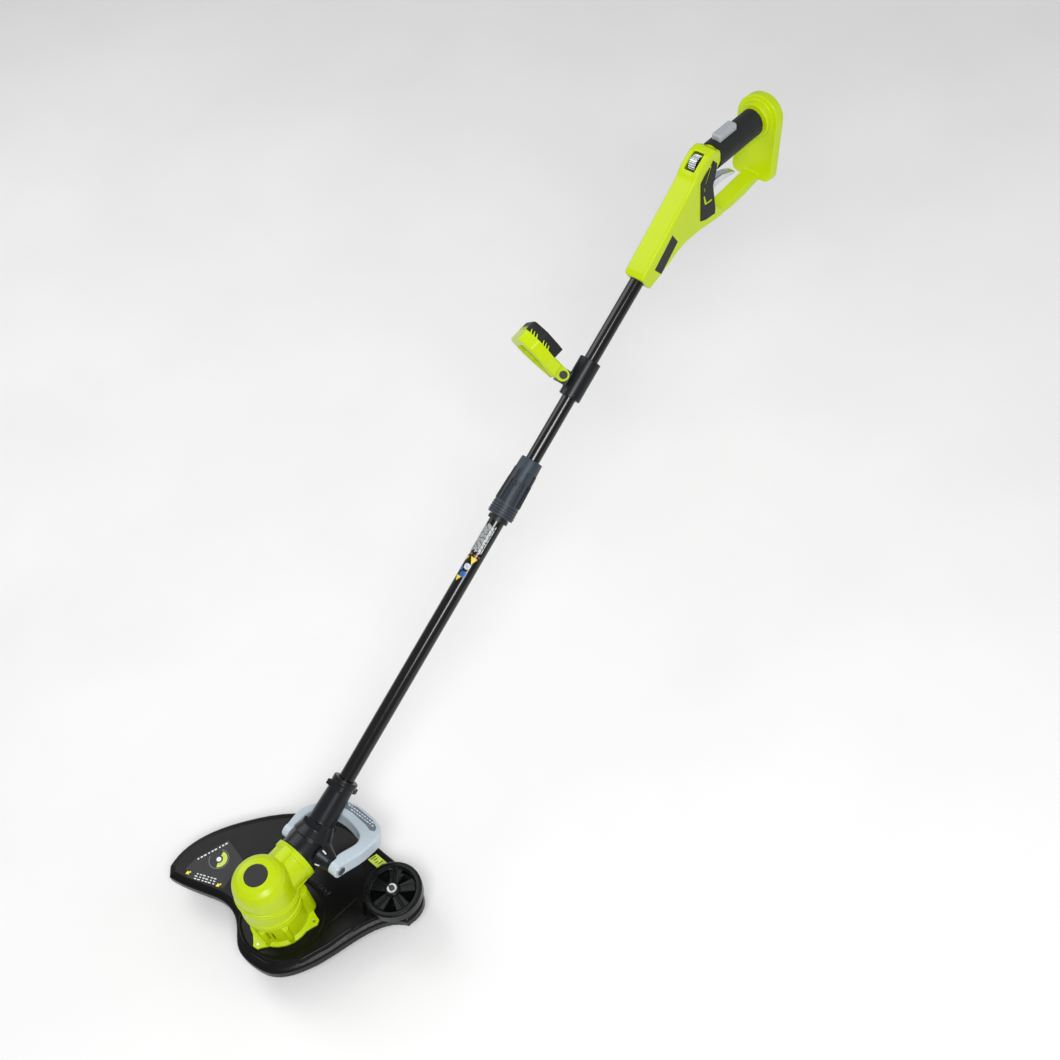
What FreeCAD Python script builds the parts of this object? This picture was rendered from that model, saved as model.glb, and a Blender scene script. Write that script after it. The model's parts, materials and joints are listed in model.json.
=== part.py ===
import FreeCAD, Part
import math
import os

# Cordless line trimmer with an edging mode: rear handle, telescopic tube, front loop
# handle, turning head with guard, edge wheel, motor and line spool.  Millimetres, +Z up,
# +Y forward, +X to the user's right, origin at the centre of the spool cap's rest face.

V = FreeCAD.Vector
os.makedirs("parts", exist_ok=True)

# ---- driving dimensions -------------------------------------------------------------
SHAFT_RISE = 28.0            # tube's slope above the guard plane, degrees
PIVOT_Y, PIVOT_Z = -82.0, 144.0   # where the tube's line meets the hub's axis
LOWER_R, LOWER_WALL = 11.1, 0.8   # outer (lower) tube
UPPER_R, UPPER_WALL = 10.0, 0.9   # inner (upper) tube
LOWER_TUBE = (50.0, 575.0)   # start and end along the tube line
UPPER_TUBE = (395.0, 1000.0)
COLLAR = (516.0, 604.0)      # twist collar
CLAMP = (702.0, 760.0)       # front handle's clamp sleeve
NOSE = 884.0                 # front end of the rear handle
DECK_Z, DECK_T = 58.0, 3.0   # top of the guard's deck and its thickness
DOME_Z = 190.0               # top of the motor housing
SPLIT_Z = 110.5              # joint between the housing's two halves
NECK_R = 32.0
NECK_END = -61.0             # rear end of the neck
WHEEL_X, WHEEL_Y, WHEEL_R = -109.0, -118.0, 41.0
WHEEL_Z = (66.0, 84.0)
LINE_ANGLE, LINE_REACH = -48.0, 148.0   # where the single line points, and its reach
SHELL_T = 2.6
RUN = 0.05                   # radial clearance of running fits
GAP = 0.4                    # clearance between pieces that move past each other


# ---- helpers ------------------------------------------------------------------------
def cyl(radius, height, base, axis=V(0, 0, 1)):
    return Part.makeCylinder(radius, height, base, axis)


def cone(r0, r1, height, base, axis=V(0, 0, 1)):
    return Part.makeCone(r0, r1, height, base, axis)


def box(low, high):
    size = high - low
    return Part.makeBox(size.x, size.y, size.z, low)


def tube(r_out, r_in, height, base, axis=V(0, 0, 1)):
    extra = V(axis).normalize() * 1.0
    return cyl(r_out, height, base, axis).cut(cyl(r_in, height + 2, base - extra, axis))


def fuse(shapes):
    shapes = list(shapes)
    if len(shapes) == 1:
        return shapes[0]
    return shapes[0].multiFuse(shapes[1:]).removeSplitter()


def polygon_face(points):
    return Part.Face(Part.makePolygon(list(points) + [points[0]]))


def side(points, x0, x1):
    """Extrude a side profile, given as (along tube, above tube), from x0 to x1."""
    return polygon_face([V(x0, n, a) for a, n in points]).extrude(V(x1 - x0, 0, 0))


def plan(points, z0, z1):
    return polygon_face([V(x, y, z0) for x, y in points]).extrude(V(0, 0, z1 - z0))


def inset(points, distance):
    """Move every side of a closed profile inwards by the distance."""
    area = 0.0
    count = len(points)
    for i in range(count):
        (x0, y0), (x1, y1) = points[i], points[(i + 1) % count]
        area += x0 * y1 - x1 * y0
    turn = 1.0 if area > 0 else -1.0
    lines = []
    for i in range(count):
        (x0, y0), (x1, y1) = points[i], points[(i + 1) % count]
        length = math.hypot(x1 - x0, y1 - y0)
        ux, uy = (x1 - x0) / length, (y1 - y0) / length
        lines.append((x0 - turn * uy * distance, y0 + turn * ux * distance, ux, uy))
    result = []
    for i in range(count):
        ax, ay, aux, auy = lines[i - 1]
        bx, by, bux, buy = lines[i]
        cross = aux * buy - auy * bux
        if abs(cross) < 1e-6:
            result.append((bx, by))
            continue
        step = ((bx - ax) * buy - (by - ay) * bux) / cross
        result.append((ax + aux * step, ay + auy * step))
    return result


def soften(shape, radius, wanted):
    """Round the wanted edges, trying smaller radii before leaving them sharp."""
    edges = [e for e in shape.Edges if wanted(e)]
    for factor in (1.0, 0.6, 0.35):
        try:
            rounded = shape.makeFillet(radius * factor, edges)
            if rounded.isValid() and rounded.Volume > 0.5 * shape.Volume:
                return rounded
        except Exception:
            continue
    return shape


def at_x(values):
    """Choose edges that lie in one of the given X planes."""
    def wanted(edge):
        low, high = edge.BoundBox.XMin, edge.BoundBox.XMax
        return high - low < 0.01 and any(abs(low - v) < 0.05 for v in values)
    return wanted


def at_z(values):
    def wanted(edge):
        low, high = edge.BoundBox.ZMin, edge.BoundBox.ZMax
        return high - low < 0.01 and any(abs(low - v) < 0.05 for v in values)
    return wanted


def revolve(profile, base=V(0, 0, 0), axis=V(0, 0, 1)):
    """Turn a closed (radius, height) profile about an axis along Z, then place it."""
    face = polygon_face([V(r, 0, h) for r, h in profile])
    solid = face.revolve(V(0, 0, 0), V(0, 0, 1), 360)
    solid.Placement = FreeCAD.Placement(base, FreeCAD.Rotation(V(0, 0, 1), axis))
    return solid


SHAFT_PLACE = FreeCAD.Placement(V(0, PIVOT_Y, PIVOT_Z), FreeCAD.Rotation(V(1, 0, 0), 90.0 - SHAFT_RISE))
BACK = V(0, -1, 0)
NODES = {}


def keep(name, shape, on_shaft=False):
    """Store a finished piece, moving tube-frame pieces into the machine's frame."""
    shape = shape.copy()
    if on_shaft:
        shape.Placement = SHAFT_PLACE.multiply(shape.Placement)
    NODES[name] = shape


def ring_of(count, start=0.0):
    return [start + 360.0 * i / count for i in range(count)]


# In the tube frame: x is to the right, y is above the tube, z runs along it.
ALONG = V(0, 0, 1)


# ---- rear handle --------------------------------------------------------------------
BODY = [(NOSE, -15), (NOSE, 14), (892, 17), (947, 20), (1006, 23.5), (1030, 26), (1042, 31), (1068, 31),
        (1081, 25), (1088, 10), (1083, -4), (1066, -8), (1052, -19), (1036, -54), (1041, -76), (1036, -88),
        (1020, -75), (993, -53), (967, -36), (950, -30), (910, -22)]
BODY_W = 16.5
BAR = [(1036, -74), (1052, -86), (1132, -128), (1118, -136), (1083, -121), (1051, -103), (1030, -86)]
BAR_W = 12.5
GRIP_A, GRIP_B = (1078.0, -1.0), (1174.0, -62.0)
GRIP_TALL, GRIP_WIDE = 20.5, 18.0
PLATE_BASE = (1124.0, -139.0)
PLATE_LEAN = 50.0
PLATE_TALL, PLATE_HALF, PLATE_T = 124.0, 33.0, 16.0

grip_dir = V(0, GRIP_B[1] - GRIP_A[1], GRIP_B[0] - GRIP_A[0])
GRIP_LEN = grip_dir.Length
grip_dir.normalize()
grip_up = V(1, 0, 0).cross(grip_dir)
if grip_up.y < 0:
    grip_up = grip_up * -1


def grip_solid(tall, wide, start=0.0, length=None):
    """An oval bar along the rear grip."""
    length = GRIP_LEN - start if length is None else length
    centre = V(0, GRIP_A[1], GRIP_A[0]) + grip_dir * start
    tip, flank = centre + grip_up * tall, centre + V(wide, 0, 0)
    if wide > tall:
        tip, flank = flank, tip
    oval = Part.Ellipse(tip, flank, centre)
    return Part.Face(Part.Wire(oval.toShape())).extrude(grip_dir * length)


lean = math.radians(PLATE_LEAN)
plate_up = V(0, math.sin(lean), math.cos(lean))
plate_fwd = V(0, math.cos(lean), -math.sin(lean))


def plate_point(x, t, depth):
    """A point on the battery plate: across, up the plate, forward of its rear face."""
    return V(x, PLATE_BASE[1], PLATE_BASE[0]) + plate_up * t + plate_fwd * depth


def plate_solid(margin, depth0, depth1):
    """The arch-topped plate, reduced all round by a margin."""
    half, arc_t = PLATE_HALF - margin, PLATE_TALL - PLATE_HALF
    corner = 12.0 - min(margin, 8.0)
    t0 = margin

    def p(x, t):
        return plate_point(x, t, depth0)
    edges = [Part.makeLine(p(-half, t0 + corner), p(-half, arc_t)),
             Part.Arc(p(-half, arc_t), p(0, arc_t + half), p(half, arc_t)).toShape(),
             Part.makeLine(p(half, arc_t), p(half, t0 + corner)),
             Part.Arc(p(half, t0 + corner), p(half - 0.293 * corner, t0 + 0.293 * corner),
                      p(half - corner, t0)).toShape(),
             Part.makeLine(p(half - corner, t0), p(-half + corner, t0)),
             Part.Arc(p(-half + corner, t0), p(-half + 0.293 * corner, t0 + 0.293 * corner),
                      p(-half, t0 + corner)).toShape()]
    return Part.Face(Part.Wire(edges)).extrude(plate_fwd * (depth1 - depth0))


body_block = soften(side(BODY, -BODY_W, BODY_W), 4.0, at_x((-BODY_W, BODY_W)))
bar_block = soften(side(BAR, -BAR_W, BAR_W), 4.0, at_x((-BAR_W, BAR_W)))
plate_block = plate_solid(0.0, 0.0, PLATE_T)
boss_start = GRIP_LEN - 14.0
boss = grip_solid(GRIP_TALL + 6, GRIP_WIDE + 6, boss_start, 12.0)
core = grip_solid(GRIP_TALL - 2.5, GRIP_WIDE - 2.5)
handle_outer = fuse([body_block, bar_block, plate_block, core, boss])

body_hollow = side(inset(BODY, SHELL_T), -BODY_W + SHELL_T, BODY_W - SHELL_T)
bar_hollow = side(inset(BAR, SHELL_T), -BAR_W + SHELL_T, BAR_W - SHELL_T)
grip_hollow = grip_solid(GRIP_TALL - 5.2, GRIP_WIDE - 5.2, 4.0, GRIP_LEN - 6.0)
pocket = plate_solid(4.0, -1.0, 12.5)
hollow = fuse([body_hollow, bar_hollow, grip_hollow])

RIBS = (NOSE + 4, 930.0, 990.0)
rib_solid = fuse([box(V(-BODY_W + 1, -15, a), V(BODY_W - 1, 15, a + 5)) for a in RIBS])
rib_solid = rib_solid.common(body_hollow)
tube_hole = cyl(UPPER_R, 1001.0 - NOSE + 2, V(0, 0, NOSE - 1), ALONG)

# The trigger lever comes out through the body's rear wall, under the grip.
TRIGGER_PIVOT = (1032.0, -38.0)
trigger_slot = side([(1036, -24), (1058, -20), (1062, -52), (1034, -50)], -7.4, 7.4)
DIAL_A, DIAL_N, DIAL_R = 1056.0, 21.0, 12.0
dial_slot = box(V(-7.0, 10.0, 1043.0), V(7.0, 40.0, 1069.0))
dial_recess = box(V(-8.5, 28.5, 1034.0), V(8.5, 40.0, 1071.0))


def grip_box(half, low, high, start, end):
    """A box lying along the grip, from low to high above its centre line."""
    block = box(V(-half, low, start), V(half, high, end))
    block.Placement = FreeCAD.Placement(V(0, GRIP_A[1], GRIP_A[0]),
                                        FreeCAD.Rotation(V(1, 0, 0), V(0, 0, 0) + grip_up, grip_dir, "XYZ"))
    return block


BUTTON_START, BUTTON_END = 12.0, 52.0
button_slot = grip_box(7.9, 8.0, 34.0, BUTTON_START - 0.4, BUTTON_END + 0.4)

shell = handle_outer.cut(hollow).cut(pocket)
shell = fuse([shell, rib_solid])
shell = shell.cut(fuse([tube_hole, trigger_slot, dial_slot, dial_recess]))
shell = shell.cut(button_slot)

# Screws pass through the right half and bite in bosses of the left half.
SCREWS = ((1000.0, -44.0, BODY_W), (1020.0, 12.0, BODY_W), (1026.0, -68.0, BODY_W), (1096.0, -116.5, BAR_W),
          (1164.0, -58.0, BODY_W))
boss_list, screw_list, hole_list = [], [], []
for a, n, half in SCREWS:
    boss_list.append(cyl(3.6, 2 * half - 3.0, V(-half + 1.5, n, a), V(1, 0, 0)))
    hole_list.append(cyl(1.5, half + 8, V(-8.0, n, a), V(1, 0, 0)))
    hole_list.append(cyl(3.0, 4.0, V(half - 3.0, n, a), V(1, 0, 0)))
    screw = fuse([cyl(1.5, half + 4.5, V(-7.0, n, a), V(1, 0, 0)),
                  cyl(2.8, 1.6, V(half - 3.0, n, a), V(1, 0, 0))])
    slot = box(V(half - 2.0, n - 0.4, a - 2.2), V(half - 1.0, n + 0.4, a + 2.2))
    screw_list.append(screw.cut(slot))
shell = fuse([shell] + [b.common(handle_outer) for b in boss_list]).cut(fuse(hole_list))
FAR = 400.0                  # reaches past the sides of any shell that is split down its middle
left_space = box(V(-FAR, -FAR, 700), V(-0.01, FAR, 1400))
right_space = box(V(0.01, -FAR, 700), V(FAR, FAR, 1400))
keep("handle_shell_left", shell.common(left_space), True)
keep("handle_shell_right", shell.common(right_space), True)
keep("handle_screws", Part.makeCompound(screw_list), True)

# Soft grip sleeve with fine grooves, open on top for the lock-off button.
sleeve_start = 1.0
sleeve_len = GRIP_LEN - 16.0 - sleeve_start
sleeve = grip_solid(GRIP_TALL, GRIP_WIDE, sleeve_start, sleeve_len)
sleeve = sleeve.cut(grip_solid(GRIP_TALL - 2.5, GRIP_WIDE - 2.5, 0.0, GRIP_LEN + 5))
sleeve = sleeve.cut(fuse([body_block, trigger_slot, button_slot]))
for offset in (-6.0, 0.0, 6.0):
    groove = grip_solid(0.5, 40.0, sleeve_start + 34.0, sleeve_len - 44.0)
    groove.translate(grip_up * offset)
    skin = grip_solid(GRIP_TALL + 3, GRIP_WIDE + 3, sleeve_start, sleeve_len)
    skin = skin.cut(grip_solid(GRIP_TALL - 0.6, GRIP_WIDE - 0.6, sleeve_start - 1, sleeve_len + 2))
    sleeve = sleeve.cut(groove.common(skin))
keep("grip_sleeve", sleeve, True)

# Thin soft panels on both flanks of the body: a long band with a wedge, a slot and a hook cut through.
PANEL = [(1002, -38), (1010, -48), (1026, -61), (1032, -53), (1048, -17), (1064, -5), (1072, 4), (1070, 16),
         (1062, 14), (1048, 15), (1035, 13)]
PANEL_CUTS = ([(1064, 12), (1062, 15), (1040, 3), (1041, 0)],
              [(1037, -2), (1035, 0), (1032, -7), (1034, -9)],
              [(1030, -12), (1027, -10), (1021, -25), (1024, -29), (1034, -37), (1037, -33), (1026, -26)])
for name, x0, x1 in (("side_panel_left", -BODY_W - 1.4, -BODY_W), ("side_panel_right", BODY_W, BODY_W + 1.4)):
    panel = side(PANEL, x0, x1)
    for cut_points in PANEL_CUTS:
        panel = panel.cut(side(cut_points, x0 - 1, x1 + 1))
    keep(name, panel, True)

# Blank badges low on each flank.
BADGE = [(907, 2), (910, -18), (958, -12), (958, 8)]
keep("badge_left", side(BADGE, -BODY_W - 0.6, -BODY_W), True)
keep("badge_right", side(BADGE, BODY_W, BODY_W + 0.6), True)

# ---- trigger, lock-off button, dial and the electrics behind them ---------------------
TRIGGER_TOP = [(1046, -31), (1055, -32.5), (1064, -36), (1076, -45), (1086, -57), (1094, -70)]
TRIGGER_UNDER = [(1091.6, -74), (1083, -65), (1074, -56.5), (1064, -49), (1054, -44.5), (1044, -43)]
trigger = side([(1032, -31.5)] + TRIGGER_TOP + TRIGGER_UNDER + [(1032, -43)], -6.6, 6.6)
trigger = fuse([trigger, cyl(6.4, 13.2, V(-6.6, TRIGGER_PIVOT[1], TRIGGER_PIVOT[0]), V(1, 0, 0))])
trigger = soften(trigger, 1.5, at_x((-6.6, 6.6)))
trigger = trigger.cut(cyl(1.5 + RUN, 20, V(-10, TRIGGER_PIVOT[1], TRIGGER_PIVOT[0]), V(1, 0, 0)))
keep("trigger", trigger, True)
pin_half = BODY_W - SHELL_T
keep("trigger_pin", cyl(1.5, 2 * pin_half, V(-pin_half, TRIGGER_PIVOT[1], TRIGGER_PIVOT[0]), V(1, 0, 0)), True)

switch = box(V(-6.0, -23.0, 1026.0), V(6.0, -10.0, 1044.0))
keep("power_switch", switch, True)

button_top = grip_box(7.5, 12.0, 27.5, BUTTON_START, BUTTON_END)
button_top = soften(button_top, 3.0, lambda e: e.BoundBox.Center.dot(grip_up) > 0)
keep("lock_off_button", button_top, True)

dial = cyl(DIAL_R, 11.0, V(-5.5, DIAL_N, DIAL_A), V(1, 0, 0))
for angle in ring_of(24):
    notch = cyl(0.9, 13.0, V(-6.5, DIAL_N + DIAL_R * math.cos(math.radians(angle)),
                             DIAL_A + DIAL_R * math.sin(math.radians(angle))), V(1, 0, 0))
    dial = dial.cut(notch)
dial = dial.cut(cyl(2.0 + RUN, 14.0, V(-7.0, DIAL_N, DIAL_A), V(1, 0, 0)))
dial = dial.common(cyl(DIAL_R, 11.0, V(-5.5, DIAL_N, DIAL_A), V(1, 0, 0)))
keep("speed_dial", dial, True)
keep("dial_spindle", cyl(2.0, 2 * pin_half, V(-pin_half, DIAL_N, DIAL_A), V(1, 0, 0)), True)

board = box(V(-11.0, -6.0, 1003.0), V(11.0, -4.4, 1040.0))
chips = [box(V(-8.0, -4.4, 1006.0), V(0.0, 2.0, 1016.0)), box(V(2.0, -4.4, 1008.0), V(9.0, 0.0, 1014.0)),
         cyl(3.6, 8.0, V(0.0, -4.4, 1030.0), V(0, 1, 0))]
keep("control_board", fuse([board] + chips), True)

dock = plate_solid(4.0, 9.5, 12.5)
guide = plate_solid(10.0, 3.0, 10.0).cut(plate_solid(12.5, 2.0, 11.0))
keep("battery_dock", fuse([dock, guide]), True)
blades = []
for x in (-14.0, 0.0, 14.0):
    blade = Part.makePolygon([plate_point(x - 0.5, 40, 9.5), plate_point(x + 0.5, 40, 9.5),
                              plate_point(x + 0.5, 56, 9.5), plate_point(x - 0.5, 56, 9.5),
                              plate_point(x - 0.5, 40, 9.5)])
    blades.append(Part.Face(blade).extrude(plate_fwd * -7.0))
keep("battery_terminals", Part.makeCompound(blades), True)

# ---- tubes and twist collar -----------------------------------------------------------
for name, radius, wall, (start, end) in (("upper_tube", UPPER_R, UPPER_WALL, UPPER_TUBE),
                                         ("lower_tube", LOWER_R, LOWER_WALL, LOWER_TUBE)):
    keep(name, tube(radius, radius - wall, end - start, V(0, 0, start)), True)
base = fuse([tube(14.5, LOWER_R, 6.0, V(0, 0, COLLAR[0] - 7.0)),
             tube(12.6, LOWER_R, 50.0, V(0, 0, COLLAR[0] - 4.0))])
keep("collet_base", base, True)
jaws = tube(12.4, UPPER_R + RUN, 16.0, V(0, 0, LOWER_TUBE[1] + 0.5))
for angle in ring_of(3):
    slit = box(V(0, -1.0, LOWER_TUBE[1] + 4.5), V(20, 1.0, LOWER_TUBE[1] + 20))
    slit.rotate(V(0, 0, 0), ALONG, angle)
    jaws = jaws.cut(slit)
keep("collet_jaws", jaws, True)
length = COLLAR[1] - COLLAR[0]
collar = cone(18.6, 15.6, length, V(0, 0, COLLAR[0]))
collar = collar.cut(cyl(13.0, 78.0, V(0, 0, COLLAR[0] - 1)))
collar = collar.cut(cyl(UPPER_R + GAP, 30.0, V(0, 0, COLLAR[1] - 20)))
collar = soften(collar, 1.6, at_z((COLLAR[0], COLLAR[1])))
for angle in ring_of(6):
    for shift in (-7.0, 7.0):
        groove = box(V(16.9, -0.7, COLLAR[0] + 14), V(24, 0.7, COLLAR[0] + 46))
        groove.rotate(V(0, 0, 0), V(0, 1, 0), -1.95)
        groove.rotate(V(0, 0, 0), ALONG, angle + shift)
        collar = collar.cut(groove)
keep("twist_collar", collar, True)

# ---- front loop handle ---------------------------------------------------------------
LOOP_TURN = 50.0             # the clamp's turn about the tube, towards the right
TUBE_RING = FreeCAD.Placement(V(0, 0, 0), FreeCAD.Rotation(V(0, 0, 1), -LOOP_TURN))
clamp_len = CLAMP[1] - CLAMP[0]
clamp_mid = 0.5 * (CLAMP[0] + CLAMP[1])
CLAMP_N = 25.0
LUG_A = clamp_mid - 8.0
clamp_body = tube(15.5, UPPER_R, clamp_len, V(0, 0, CLAMP[0]))
lug = fuse([box(V(-7, 10.5, LUG_A - 10), V(7, CLAMP_N, LUG_A + 10)),
            cyl(10.0, 14.0, V(-7, CLAMP_N, LUG_A), V(1, 0, 0))])
lug = lug.cut(cyl(UPPER_R, 60, V(0, 0, LUG_A - 30)))
clamp_body = fuse([clamp_body, lug])
split = box(V(-0.8, 9.0, CLAMP[0] - 1), V(0.8, 60, CLAMP[1] + 1))
clamp_body = clamp_body.cut(split)
clamp_body = clamp_body.cut(cyl(3.0, 40, V(-20, CLAMP_N, LUG_A), V(1, 0, 0)))
clamp_body.Placement = TUBE_RING
keep("clamp_sleeve", clamp_body, True)

LOOP_LEAN = 14.0             # the loop's lean towards the user


def loop_wire(inner):
    """The loop's outline across (x) and up from the lug's bolt (y)."""
    points = [(-9.0, -9.0), (-36.0, 36.0), (-43.0, 58.0), (-32.0, 80.0), (32.0, 80.0), (43.0, 58.0),
              (36.0, 36.0), (9.0, -9.0)]
    if inner:
        points = [(-7.6, 14.0), (-25.0, 38.0), (-29.0, 54.0), (-22.0, 66.0), (22.0, 66.0), (29.0, 54.0),
                  (25.0, 38.0), (7.6, 14.0)]
    return points


def loop_plate(points, z0, z1):
    return polygon_face([V(x, y, z0) for x, y in points]).extrude(V(0, 0, z1 - z0))


def along_z(edge):
    return edge.BoundBox.ZLength > 5 and edge.BoundBox.XLength < 0.1 and edge.BoundBox.YLength < 0.1


def loop_half(z0, z1):
    outer = soften(loop_plate(loop_wire(False), z0, z1), 8.0,
                   lambda e: along_z(e) and e.BoundBox.YMax > 20)
    hole = soften(loop_plate(loop_wire(True), z0 - 1, z1 + 1), 5.0,
                  lambda e: along_z(e) and e.BoundBox.YMax > 20)
    return outer.cut(hole)


frame_half = loop_half(-12.0, 6.0)
frame_half = soften(frame_half, 6.0, lambda e: e.BoundBox.ZLength < 0.01 and abs(e.BoundBox.ZMin + 12) < 0.05)
grip_half = loop_half(6.0, 22.0)
grip_half = soften(grip_half, 6.0, lambda e: e.BoundBox.ZLength < 0.01 and abs(e.BoundBox.ZMin - 22) < 0.05)
fork_space = box(V(-7.4, -30, -40), V(7.4, 13.0, 40))
ears = fuse([cyl(9.0, 6.0, V(-13.4, 0, 0), V(1, 0, 0)), cyl(9.0, 6.0, V(7.4, 0, 0), V(1, 0, 0)),
             box(V(-13.4, 0, -9), V(-7.4, 24, 9)), box(V(7.4, 0, -9), V(13.4, 24, 9))])
below = box(V(-60, -40, -40), V(60, 6.0, 40))
frame_half = fuse([frame_half.cut(below), ears]).cut(fork_space)
grip_half = grip_half.cut(box(V(-60, -40, -40), V(60, 26.0, 40)))
frame_half = frame_half.cut(grip_half)
frame_half = frame_half.cut(cyl(3.0 + RUN, 60, V(-30, 0, 0), V(1, 0, 0)))
for x in (-33.6, 13.6):
    room = cyl(10.5, 20.0, V(x, 0, 0), V(1, 0, 0))
    frame_half = frame_half.cut(room)
    grip_half = grip_half.cut(room)
loop_place = FreeCAD.Placement(V(0, CLAMP_N, LUG_A), FreeCAD.Rotation(V(1, 0, 0), LOOP_LEAN))
for name, shape in (("front_handle_frame", frame_half), ("front_handle_grip", grip_half)):
    shape = shape.copy()
    shape.Placement = TUBE_RING.multiply(loop_place)
    keep(name, shape, True)
bolt = fuse([cyl(3.0, 34.0, V(-13.6 - 1.0, CLAMP_N, LUG_A), V(1, 0, 0)),
             cyl(5.5, 3.5, V(-17.6, CLAMP_N, LUG_A), V(1, 0, 0))])
bolt.Placement = TUBE_RING
keep("front_handle_bolt", bolt, True)
knob = cyl(9.0, 12.0, V(13.8, CLAMP_N, LUG_A), V(1, 0, 0))
for angle in ring_of(6):
    c, s = math.cos(math.radians(angle)), math.sin(math.radians(angle))
    knob = knob.cut(cyl(2.4, 14.0, V(13.0, CLAMP_N + 10.0 * c, LUG_A + 10.0 * s), V(1, 0, 0)))
knob = knob.cut(cyl(3.0 + RUN, 7.0, V(13.0, CLAMP_N, LUG_A), V(1, 0, 0)))
knob.Placement = TUBE_RING
keep("front_handle_knob", knob, True)

# ---- hub and tube socket ---------------------------------------------------------------
HUB_R = 29.0
hub_profile = [(0, 0), (HUB_R, 0), (HUB_R, 30), (27.0, 37), (22.0, 41), (0, 43)]
hub_front = V(0, NECK_END - 1.0, PIVOT_Z)
hub = revolve(hub_profile, hub_front, BACK)
socket = cone(20.0, 16.4, 84.0, V(0, 0, 14))
socket = fuse([socket, cyl(18.0, 8.0, V(0, 0, 96))])
socket = soften(socket, 1.2, at_z((96.0, 104.0)))
TABS = ((33.0, 19.5, 13.5), (92.0, 18.0, 12.5))      # place along the tube, screw height, half width
tabs = fuse([box(V(-half, sign * n - 4.5, a - 4.0), V(half, sign * n + 4.5, a + 4.0))
             for a, n, half in TABS for sign in (-1, 1)])
socket = fuse([socket, tabs])
socket.Placement = SHAFT_PLACE.multiply(socket.Placement)
side_boss = fuse([cyl(11.0, 50.0, V(-50.0, PIVOT_Y, PIVOT_Z), V(1, 0, 0)),
                  cone(19.0, 11.2, 18.0, V(-28.0, PIVOT_Y, PIVOT_Z), V(-1, 0, 0))])
saddle = cone(30.0, 20.0, 22.0, V(0, 0, 14))
saddle.Placement = SHAFT_PLACE.multiply(saddle.Placement)
saddle = saddle.common(box(V(-28, PIVOT_Y - 60, PIVOT_Z - 5), V(28, NECK_END - 1.0, PIVOT_Z + 60)))
hub = fuse([hub, socket, side_boss, saddle])
neck_side = box(V(-80, NECK_END - 1.0, 60), V(80, 60, 260))
hub = hub.cut(neck_side)
tube_seat = cyl(LOWER_R, 120.0, V(0, 0, LOWER_TUBE[0]))
tube_seat.Placement = SHAFT_PLACE.multiply(tube_seat.Placement)
mouth = cyl(25.5, 9.0, hub_front + V(0, 1, 0), BACK)
bore = cyl(10.0 + RUN, 22.0, hub_front + V(0, 1, 0), BACK)
hub = hub.cut(fuse([tube_seat, mouth, bore]))
STOP_R = 18.0
stop_hole = cyl(3.0, 20.0, V(0, NECK_END - 8.0, PIVOT_Z - STOP_R), BACK)
hub = hub.cut(stop_hole)
pin_holes = fuse([cyl(4.0, 20.0, V(-50.5, PIVOT_Y, PIVOT_Z), V(1, 0, 0)),
                  cyl(4.0, 16.0, V(16.0, PIVOT_Y, PIVOT_Z), V(1, 0, 0))])
hub = hub.cut(pin_holes)
hub_holes, hub_screws = [], []
for a, n, half in TABS:
    for sign in (-1, 1):
        hub_holes.append(cyl(1.6, 2 * half - 3.0, V(-half + 3.0, sign * n, a), V(1, 0, 0)))
        hub_holes.append(cyl(3.0, 3.0, V(half - 2.0, sign * n, a), V(1, 0, 0)))
        screw = fuse([cyl(1.6, 2 * half - 5.0, V(-half + 3.0, sign * n, a), V(1, 0, 0)),
                      cyl(2.8, 1.6, V(half - 2.0, sign * n, a), V(1, 0, 0))])
        slot = box(V(half - 1.0, sign * n - 2.2, a - 0.4), V(half, sign * n + 2.2, a + 0.4))
        hub_screws.append(screw.cut(slot))
holes = fuse(hub_holes)
holes.Placement = SHAFT_PLACE.multiply(holes.Placement)
hub = hub.cut(holes)
keep("hub_left", hub.common(box(V(-FAR, -FAR, 0), V(-0.01, FAR, FAR))))
keep("hub_right", hub.common(box(V(0.01, -FAR, 0), V(FAR, FAR, FAR))))
keep("hub_screws", Part.makeCompound(hub_screws), True)
keep("turn_stop_pin", cyl(3.0, 21.0, V(0, NECK_END - 3.6, PIVOT_Z - STOP_R), BACK))

# ---- foot pedal ------------------------------------------------------------------------
# The U-shaped pedal reaches further out on the left, and slopes down to the rear.
PEDAL_SLOPE = 15.0
PEDAL_R = 11.0               # half its height, and the radius of its rounded ends
LEFT_ARM, RIGHT_ARM = (-64.0, -50.5), (29.6, 40.6)
PEDAL_OUTER = [(-64, 0), (-66, -14), (-69, -32), (-69, -54), (-66, -71), (-58, -81), (-44, -86), (-8, -88),
               (8, -84), (24, -72), (38, -52), (46, -34), (45, -16), (40.6, 0)]
PEDAL_INNER = [(29.6, 0), (32, -18), (33, -31), (25, -46), (10, -58), (-6, -61.5), (-30, -59), (-44, -54),
               (-50.5, -46), (-50.5, -30), (-50.5, 0)]
pedal_place = FreeCAD.Placement(V(0, PIVOT_Y, PIVOT_Z), FreeCAD.Rotation(V(1, 0, 0), PEDAL_SLOPE))
pedal_pins = []
for x0, x1, sign in ((-LEFT_ARM[0], 31.0, -1), (RIGHT_ARM[1], 17.0, 1)):
    start = V(sign * x1, PIVOT_Y, PIVOT_Z)
    pedal_pins.append(fuse([cyl(4.0, x0 - x1 + 0.4, start, V(sign, 0, 0)),
                            cyl(6.0, 1.6, start + V(sign * (x0 - x1 + 0.4), 0, 0), V(sign, 0, 0))]))
keep("pedal_pins", Part.makeCompound(pedal_pins))


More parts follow.
